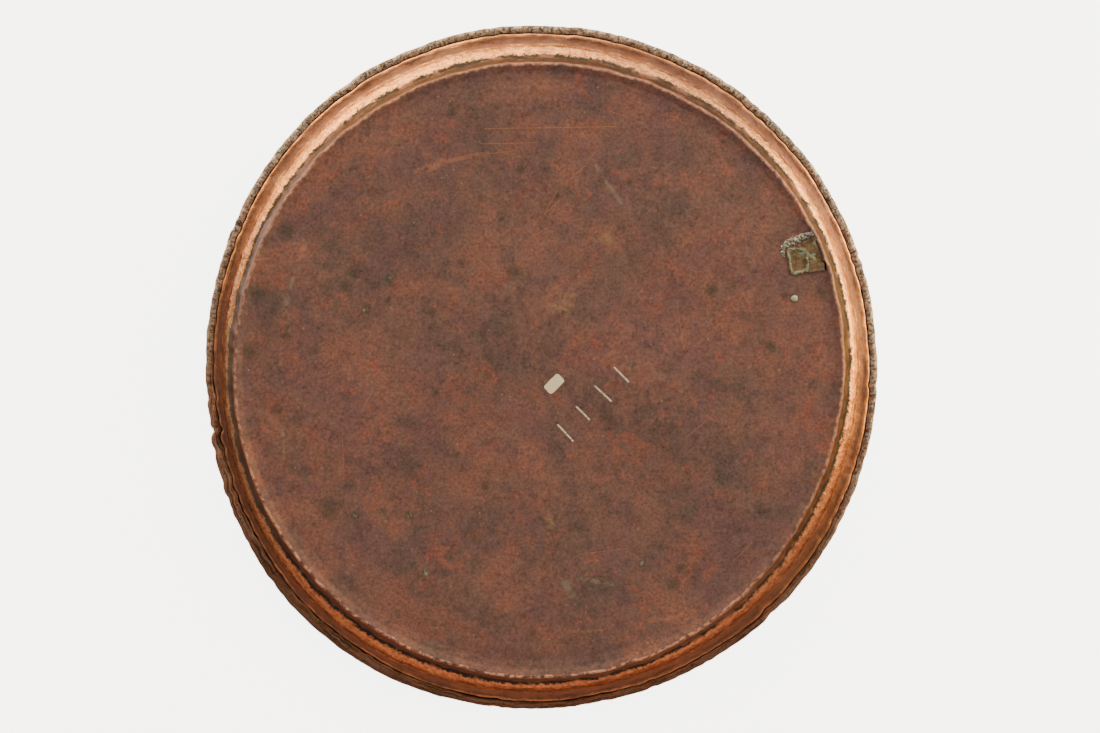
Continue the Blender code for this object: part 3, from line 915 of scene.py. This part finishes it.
def copper_material():
    g = Material("aged_copper")
    place = g.place()
    station = g.attribute("station")
    inside = g.attribute("side")
    level = g.level(place)
    patina, small, grain = base_patina(g, place, level)
    scratches, smears, streaks, chalk = worn_marks(g, place, level, small)
    patina = g.paint(patina, (0.240, 0.225, 0.195), streaks, 0.6)

    # Sectors about the axis, and places along the section that wander from their true radii.
    outward = g.vector("NORMALIZE", level).outputs[0]
    folded = towards(g, outward, FOLDED_TOWARDS, 0.60, 0.85)
    dirty = towards(g, outward, -7.0, 0.84, 0.95)
    # Sector towards -70 degrees where the worn base corner gets a painted highlight.
    rubbed = towards(g, outward, -70.0, 0.25, 0.65)
    lower = towards(g, outward, -85.0, -0.2, 0.9)
    parts = g.join(g.add("ShaderNodeSeparateXYZ"), place)
    turn = g.math("ARCTAN2", parts.outputs["Y"], parts.outputs["X"])
    uneven = g.math("MULTIPLY_ADD", g.math("SUBTRACT", g.noise(place, 11, 4.0, 0.6), 0.5), 3.0, station)
    teeth = g.math("SUBTRACT", g.noise(place, 4.2, 5.0, 0.8, 0.5), 0.5)
    spiky = g.math("MULTIPLY_ADD", teeth, 14.0, station)
    coarse = g.noise(place, 42, 3.0)
    blotch = g.noise(place, 5.5, 4.0, 0.6, 0.3)

    corner, wall, cove, flange, lip = (
        g.window(uneven, *band) for band in (CORNER_BAND, WALL_BAND, COVE_BAND, FLANGE_BAND, LIP_BAND)
    )
    hem = g.step(station, *HEM_START)

    wear = g.step(g.math("MULTIPLY_ADD", coarse, 0.4, g.times(small, 0.6)), 0.36, 0.60)
    # The base corner worn bare in blotches and painted brighter there: partly real wear, partly painted
    # highlight.
    worn_edge_and_glint = g.times(corner, g.step(blotch, 0.40, 0.58))
    polish = g.times(worn_edge_and_glint, g.blend(rubbed, 0.35, 0.95))
    for band, least, more in (
        (wall, 0.30, 0.30), (cove, 0.70, 0.30), (flange, 0.35, 0.25), (lip, 0.35, 0.65), (hem, 0.10, 0.35),
    ):
        worn = g.times(band, g.math("MULTIPLY_ADD", wear, more, least))
        polish = g.most(polish, worn)
    polish = g.most(polish, g.times(scratches, 0.5))
    polish = g.most(polish, g.times(smears, 0.45))

    outside = g.math("SUBTRACT", 1.0, inside)
    chalk = g.times(chalk, outside)
    # The inside face: rubbed copper, dull at the edges of the hammer marks, with remains of tin.
    tin = g.step(g.noise(place, 70, 5.0, 0.65, 0.5), 0.52, 0.66)
    inside_wear = g.math("MULTIPLY_ADD", small, 0.5, g.times(coarse, 0.5))
    inside_polish = g.step(inside_wear, 0.30, 0.62, 0.45, 0.85)
    on_hem = g.step(station, 291.0, 293.5)
    facing_in = g.times(inside, g.math("SUBTRACT", 1.0, on_hem))
    polish = g.blend(facing_in, polish, inside_polish)

    copper = g.mix(g.noise(place, 17, 4.0), DULL_COPPER, BRIGHT_COPPER)
    copper = g.mix(g.step(polish, 0.5, 0.95), copper, BRIGHT_COPPER)
    # Golden patches on the cove, far fewer towards -Y: partly the copper's own tone, partly painted
    # highlight.
    golden_tone_and_glint = g.times(cove, g.step(g.noise(place, 7.0, 5.0, 0.7, 0.4), 0.48, 0.60))
    golden_tone_and_glint = g.times(golden_tone_and_glint, g.blend(lower, 0.9, 0.15))
    copper = g.mix(golden_tone_and_glint, copper, (1.0, 0.56, 0.22))
    run = g.combine(g.times(turn, 70.0), station)
    streaked = g.step(g.noise(run, 2.6, 5.0, 0.75, 0.6), 0.53, 0.59)
    # Painted reflection of warm surroundings: the cove redder towards -Y.
    cove_warm_reflection = g.times(cove, g.blend(lower, 0.0, 0.75))
    copper = g.mix(cove_warm_reflection, copper, (0.98, 0.37, 0.155))
    mottle = g.noise(place, 3.6, 6.0, 0.8, 0.5)
    tarnish = g.times(cove, g.step(mottle, 0.51, 0.56))
    tarnish = g.most(tarnish, g.times(cove, streaked))
    copper = g.paint(copper, (0.33, 0.135, 0.070), tarnish, 0.75)
    # Painted dark reflection: the flange darkened all round, a little less towards -Y.
    copper = g.paint(copper, (0.135, 0.056, 0.036), flange, g.blend(lower, 0.95, 0.55))
    # Painted highlight: the worn base corner in pale pink.
    copper = g.paint(copper, (0.80, 0.48, 0.40), worn_edge_and_glint, 0.7)
    colour = g.mix(polish, patina, copper)
    # The stepped wall darkened in patches, much more towards +Y than towards -Y.
    darker_wall_patches = g.times(wall, g.step(small, 0.26, 0.50))
    colour = g.paint(colour, (0.085, 0.048, 0.040), darker_wall_patches, g.blend(lower, 0.9, 0.1))

    # Dark deposit in the groove, ragged on its outer side, and a smoother grey-green one at +X.
    groove_start = g.math("MULTIPLY_ADD", dirty, -0.6, 271.7)
    start = g.step(g.math("SUBTRACT", uneven, groove_start), -0.8, 0.4)
    groove = g.times(start, g.step(spiky, 274.2, 274.8, 1.0, 0.0))
    thin = g.step(g.noise(place, 20, 3.0, 0.7), 0.38, 0.50, 0.15, 1.0)
    groove = g.times(groove, g.most(thin, dirty))
    deposit = g.mix(g.noise(place, 6, 4.0), (0.012, 0.012, 0.014), (0.090, 0.092, 0.102))
    deposit = g.paint(deposit, (0.120, 0.118, 0.104), dirty, 0.8)
    colour = g.paint(colour, deposit, groove, 0.92)

    # Painted shadow beside the hem's raw edge: a dark line where it meets the flange.
    gap = g.times(g.window(station, *GAP_BAND), outside)
    colour = g.mix(gap, colour, (0.045, 0.030, 0.022))

    # The hem: grey-brown with short marks across it, and lines along it where it is folded over
    # and over the whole lower half. Towards -Y it is painted darker with fewer pale marks: painted shade.
    across = g.combine(g.times(turn, 296.0), g.times(station, 0.60))
    along = g.combine(g.times(turn, 9.0), station)
    cross_marks = g.noise(across, 3.4, 6.0, 0.78, 0.9)
    long_marks = g.noise(along, 1.3, 4.0, 0.7, 0.3)
    layered = g.most(folded, lower)
    marks = g.blend(g.times(layered, 0.8), cross_marks, long_marks)
    old_hem = g.mix(g.noise(place, 9, 4.0), (0.125, 0.123, 0.122), (0.340, 0.295, 0.272))
    dull_hem = g.times(hem, g.step(wear, 0.2, 0.9, 0.92, 0.6))
    dull_hem = g.times(dull_hem, g.blend(layered, 1.0, 0.2))
    colour = g.mix(dull_hem, colour, old_hem)
    pale_marks = g.times(hem, g.step(marks, 0.50, 0.58))
    # Fewer pale marks towards -Y: painted shade.
    pale_marks = g.times(pale_marks, g.blend(lower, 0.75, 0.3))
    colour = g.mix(pale_marks, colour, (0.74, 0.58, 0.49))
    # Painted shade: the hem darker orange-brown towards -Y.
    hem_lower_shade = g.times(hem, g.blend(lower, 0.0, 0.68))
    colour = g.mix(hem_lower_shade, colour, (0.150, 0.060, 0.034))
    dark_marks = g.times(hem, g.step(marks, 0.43, 0.48, 1.0, 0.0))
    pits = g.spots(place, 3.4, 0.16, 0.30)
    pits = g.times(pits, g.step(g.noise(place, 12, 2.0), 0.44, 0.54))
    pits = g.most(dark_marks, g.times(pits, hem))
    colour = g.paint(colour, (0.042, 0.034, 0.030), pits, 0.85)

    specks = g.spots(place, 6.0, 0.07, 0.14)
    specks = g.times(specks, g.step(g.noise(place, 30, 2.0), 0.46, 0.56))
    colour = g.paint(colour, (0.13, 0.085, 0.06), g.times(specks, cove), 0.7)

    tinned = g.times(tin, facing_in)
    colour = g.paint(colour, (0.42, 0.37, 0.32), tinned, 0.55)
    colour = g.paint(colour, (0.72, 0.70, 0.68), chalk, 0.85)

    roughness = g.step(polish, 0.0, 1.0, 0.52, 0.27)
    roughness = g.math("MULTIPLY_ADD", g.math("SUBTRACT", small, 0.5), 0.25, roughness)
    roughness = g.most(roughness, g.times(groove, 0.65))
    roughness = g.most(roughness, g.times(chalk, 0.9))
    metallic = g.step(polish, 0.0, 0.6, 0.55, 1.0)
    covered = g.most(g.times(dull_hem, 0.5), g.times(worn_edge_and_glint, 0.6))
    metallic = g.times(metallic, g.math("SUBTRACT", 1.0, covered))
    metallic = g.most(metallic, g.most(groove, g.times(wall, 0.8)))
    metallic = g.times(metallic, g.math("SUBTRACT", 1.0, chalk))

    height = g.math("MULTIPLY_ADD", grain, 0.3, g.times(small, 0.7))
    height = g.math("SUBTRACT", height, g.times(pits, 1.5))
    height = g.math("MULTIPLY_ADD", groove, 0.6, height)
    height = g.math("MULTIPLY_ADD", g.times(hem, marks), 1.8, height)
    rim = g.step(station, 266.0, 270.0)
    height = g.math("MULTIPLY_ADD", g.times(rim, blotch), 3.0, height)
    fine = g.bump(height, 0.16)
    pores = g.bump(g.noise(place, 0.9, 3.0), 0.03, 0.6, fine)
    return g.finish(colour, roughness, metallic, pores)


# ---------------------------------------------------------------- other materials


def corroded_metal(name, dark, light, crust, crust_share, metallic, roughness, size=3.0):
    """Old metal in two shades under patches of crust."""
    g = Material(name)
    place = g.place()
    shade = g.noise(place, size, 5.0, 0.65, 0.4)
    colour = g.mix(g.step(shade, 0.35, 0.65), dark, light)
    threshold = 0.62 - 0.3 * crust_share
    patches = g.step(g.noise(place, 2.2 * size, 5.0, 0.7, 0.6), threshold, threshold + 0.08)
    colour = g.paint(colour, crust, patches, 0.85)
    dirt = g.step(g.noise(place, 0.5 * size, 4.0, 0.7), 0.58, 0.70)
    colour = g.paint(colour, tuple(0.35 * c for c in dark), dirt, 0.6)
    rough = g.blend(patches, roughness, min(roughness + 0.3, 0.95))
    metal = g.blend(patches, metallic, 0.15 * metallic)
    height = g.math("MULTIPLY_ADD", patches, 0.6, shade)
    return g.finish(colour, rough, metal, g.bump(height, 0.22))


def plate_material():
    """Brown and ochre copper with a pale green crust inside the frame and a thin branch of it."""
    g = Material("patch_copper")
    place = g.place()
    shade = g.noise(place, 5.0, 5.0, 0.65, 0.4)
    fine = g.noise(place, 1.6, 4.0, 0.7)
    colour = g.mix(g.step(shade, 0.38, 0.62), (0.085, 0.062, 0.045), (0.205, 0.145, 0.085))
    colour = g.paint(colour, (0.28, 0.21, 0.13), g.step(fine, 0.50, 0.62), 0.5)
    local = g.level(g.vector("SUBTRACT", place, (PATCH_FRAME_X, PATCH_FRAME_Y, 0.0)).outputs[0])
    green = g.most(
        g.spot(local, (0.4, 2.6), 5.2), g.scratch(local, (-4.5, 0.8), (-10.6, -3.4), 1.8),
        g.scratch(local, (-7.5, -1.2), (-10.8, 0.4), 1.4), g.spot(local, (-10.4, 9.5), 3.0),
    )
    green = g.times(green, g.step(fine, 0.30, 0.48))
    colour = g.mix(green, colour, (0.190, 0.265, 0.215))
    dark = g.times(g.spot(local, (-3.0, -6.0), 5.0), g.step(shade, 0.35, 0.60))
    colour = g.paint(colour, (0.045, 0.028, 0.020), dark, 0.8)
    height = g.math("MULTIPLY_ADD", green, 0.8, fine)
    metal = g.math("MULTIPLY_ADD", green, -0.4, 0.45)
    return g.finish(colour, 0.5, metal, g.bump(height, 0.25))


def paper_material():
    g = Material("label_paper")
    place = g.place()
    fibre = g.noise(place, 0.8, 4.0, 0.7, 0.0, (1.0, 3.0, 1.0))
    stain = g.step(g.noise(place, 6.0, 4.0), 0.45, 0.65)
    colour = g.mix(fibre, (0.62, 0.60, 0.47), (0.74, 0.72, 0.60))
    colour = g.paint(colour, (0.66, 0.52, 0.38), stain, 0.35)
    return g.finish(colour, 0.85, 0.0, g.bump(fibre, 0.03))


# ---------------------------------------------------------------- stage, light and camera

CAMERA_DISTANCE = 1.941  # metres
CAMERA_UP = 2.4  # degrees towards +Y from straight below
CAMERA_RIGHT = 0.15  # degrees towards -X
LENS = 72.0
AIM = (-0.0083, 0.0024, 0.030)  # what the camera looks at, metres


def one_sided(name, colour, roughness, glow=0.0):
    """A plain matt finish that can't be seen from behind."""
    material = bpy.data.materials.new(name)
    material.use_nodes = True
    tree = material.node_tree
    shader = tree.nodes["Principled BSDF"]
    for key, value in (
        ("Base Color", (*colour, 1.0)), ("Roughness", roughness),
        ("Emission Color", (*colour, 1.0)), ("Emission Strength", glow),
    ):
        shader.inputs[key].default_value = value
    clear = tree.nodes.new("ShaderNodeBsdfTransparent")
    facing = tree.nodes.new("ShaderNodeNewGeometry")
    choose = tree.nodes.new("ShaderNodeMixShader")
    tree.links.new(facing.outputs["Backfacing"], choose.inputs[0])
    tree.links.new(shader.outputs[0], choose.inputs[1])
    tree.links.new(clear.outputs[0], choose.inputs[2])
    tree.links.new(choose.outputs[0], tree.nodes["Material Output"].inputs["Surface"])
    return material


STAGE_HALF_SIZE = 6.0  # metres


def stage_plane(name, height, upward, material):
    """A level plane that lights nothing and shades nothing; height in metres."""
    half = STAGE_HALF_SIZE
    turn = 1 if upward else -1
    corners = [(x * half, y * half * turn, height) for x, y in ((-1, -1), (1, -1), (1, 1), (-1, 1))]
    mesh = bpy.data.meshes.new(name)
    mesh.from_pydata(corners, [], [(0, 1, 2, 3)])
    mesh.materials.append(material)
    plane = bpy.data.objects.new(name, mesh)
    bpy.context.scene.collection.objects.link(plane)
    plane.visible_shadow = False
    plane.visible_diffuse = False
    plane.visible_glossy = False
    plane.visible_transmission = False


def make_stage():
    stage_plane("floor", -0.0004, True, one_sided("pale_floor", (0.80, 0.79, 0.77), 0.8))
    behind = HEIGHT * MM + 0.004
    stage_plane("backdrop", behind, False, one_sided("pale_backdrop", (0.93, 0.93, 0.93), 0.9, 5.5))


def area_light(name, place, target, size, power, colour):
    data = bpy.data.lights.new(name, "AREA")
    data.shape = "RECTANGLE"
    data.size, data.size_y = size
    data.energy = power
    data.color = colour
    lamp = bpy.data.objects.new(name, data)
    lamp.location = place
    lamp.rotation_euler = (Vector(target) - Vector(place)).to_track_quat("-Z", "Y").to_euler()
    bpy.context.scene.collection.objects.link(lamp)
    return lamp


# What surrounds the tray at the level of its rim, by direction in turns from +X: bright above
# (+Y), warm at -X, dim orange below (-Y), dark at +X.
SURROUNDINGS = (
    (0.000, (0.45, 0.40, 0.37)), (0.042, (0.86, 0.66, 0.54)), (0.083, (4.2, 2.8, 1.2)),
    (0.125, (6.2, 4.6, 2.3)), (0.210, (6.0, 4.5, 2.3)), (0.285, (2.4, 2.0, 1.45)),
    (0.370, (2.5, 2.1, 1.5)), (0.417, (7.5, 6.0, 3.2)), (0.500, (8.0, 5.6, 1.8)),
    (0.540, (1.6, 0.95, 0.50)), (0.583, (0.62, 0.45, 0.34)), (0.667, (0.72, 0.46, 0.33)),
    (0.833, (0.70, 0.44, 0.30)), (0.917, (0.38, 0.29, 0.24)), (0.958, (0.34, 0.31, 0.29)),
    (1.000, (0.45, 0.40, 0.37)),
)
# How bright the surroundings are from straight below (0) to straight above (1).
SURROUNDINGS_BY_HEIGHT = ((0.13, 0.16), (0.30, 1.0), (0.56, 1.0), (0.70, 0.25))


def make_world():
    world = bpy.data.worlds.new("studio")
    bpy.context.scene.world = world
    world.use_nodes = True
    g = Graph(world.node_tree)
    direction = g.add("ShaderNodeTexCoord").outputs["Generated"]
    split = g.join(g.add("ShaderNodeSeparateXYZ"), direction)
    turns = g.math("ARCTAN2", split.outputs["Y"], split.outputs["X"])
    turns = g.math("FRACT", g.math("DIVIDE", turns, math.tau))
    height = g.times(g.math("ADD", split.outputs["Z"], 1.0), 0.5)
    around, above = g.ramp(turns, SURROUNDINGS), g.ramp(height, SURROUNDINGS_BY_HEIGHT)
    colour = g.vector("MULTIPLY", around, above).outputs[0]
    colour = g.mix(g.step(height, 0.05, 0.0), colour, (0.52, 0.58, 0.70))
    colour = g.mix(g.step(height, 0.80, 0.92), colour, (1.5, 1.48, 1.45))
    colour = g.mix(g.add("ShaderNodeLightPath").outputs["Is Camera Ray"], colour, (2.6, 2.6, 2.6))
    background = world.node_tree.nodes["Background"]
    g.put(background.inputs["Color"], colour)
    background.inputs["Strength"].default_value = 1.0


def make_lights():
    front = area_light(
        "front_panel", (-1.5, 1.7, -1.2), (0, 0, 0), (0.8, 0.8), 24.0, (0.88, 0.95, 1.15)
    )
    front.visible_glossy = False
    area_light("top_panel", (-1.2, -0.9, 1.9), (0, 0, 0), (1.4, 1.4), 60.0, (1.0, 0.98, 0.95))
    area_light("top_fill", (1.6, 0.8, 1.4), (0, 0, 0), (1.2, 1.2), 22.0, (0.95, 0.97, 1.0))


def make_camera():
    data = bpy.data.cameras.new("camera")
    data.lens = LENS
    data.sensor_width = 36.0
    camera = bpy.data.objects.new("camera", data)
    up, right = math.radians(CAMERA_UP), math.radians(CAMERA_RIGHT)
    away = Vector((-math.sin(right), math.sin(up), 0.0))
    away.z = -math.sqrt(1 - away.length_squared)
    place = Vector(AIM) + away * CAMERA_DISTANCE
    # +Y is up in the picture, so the camera is turned about its own view axis to match.
    back = away.normalized()
    side = Vector((0, 1, 0)).cross(back).normalized()
    above = back.cross(side)
    camera.matrix_world = Matrix.Translation(place) @ Matrix((side, above, back)).transposed().to_4x4()
    bpy.context.scene.collection.objects.link(camera)
    bpy.context.scene.camera = camera


# ---------------------------------------------------------------- assembly


def main():
    make_camera()
    make_stage()
    make_world()
    make_lights()
    make_sheet(copper_material())
    make_wire(corroded_metal(
        "rusty_iron", (0.09, 0.06, 0.045), (0.17, 0.12, 0.09), (0.22, 0.10, 0.05), 0.5, 0.9, 0.55))
    make_patch_plate(plate_material())
    make_patch_frame(corroded_metal(
        "patch_bronze", (0.12, 0.11, 0.085), (0.22, 0.21, 0.175), (0.21, 0.26, 0.215), 0.5, 0.5, 0.5, 2.5))
    make_patch_strip(corroded_metal(
        "strip_bronze", (0.13, 0.095, 0.065), (0.21, 0.15, 0.11), (0.16, 0.15, 0.12), 0.3, 0.5, 0.5, 3.0))
    make_patch_solder(corroded_metal(
        "lead_solder", (0.11, 0.11, 0.115), (0.40, 0.41, 0.44), (0.24, 0.27, 0.26), 0.3, 0.7, 0.38, 1.8))
    make_rivet(corroded_metal(
        "verdigris_copper", (0.13, 0.15, 0.11), (0.30, 0.38, 0.30), (0.38, 0.47, 0.38), 0.6, 0.15, 0.6, 2.0))
    make_label(paper_material())


main()
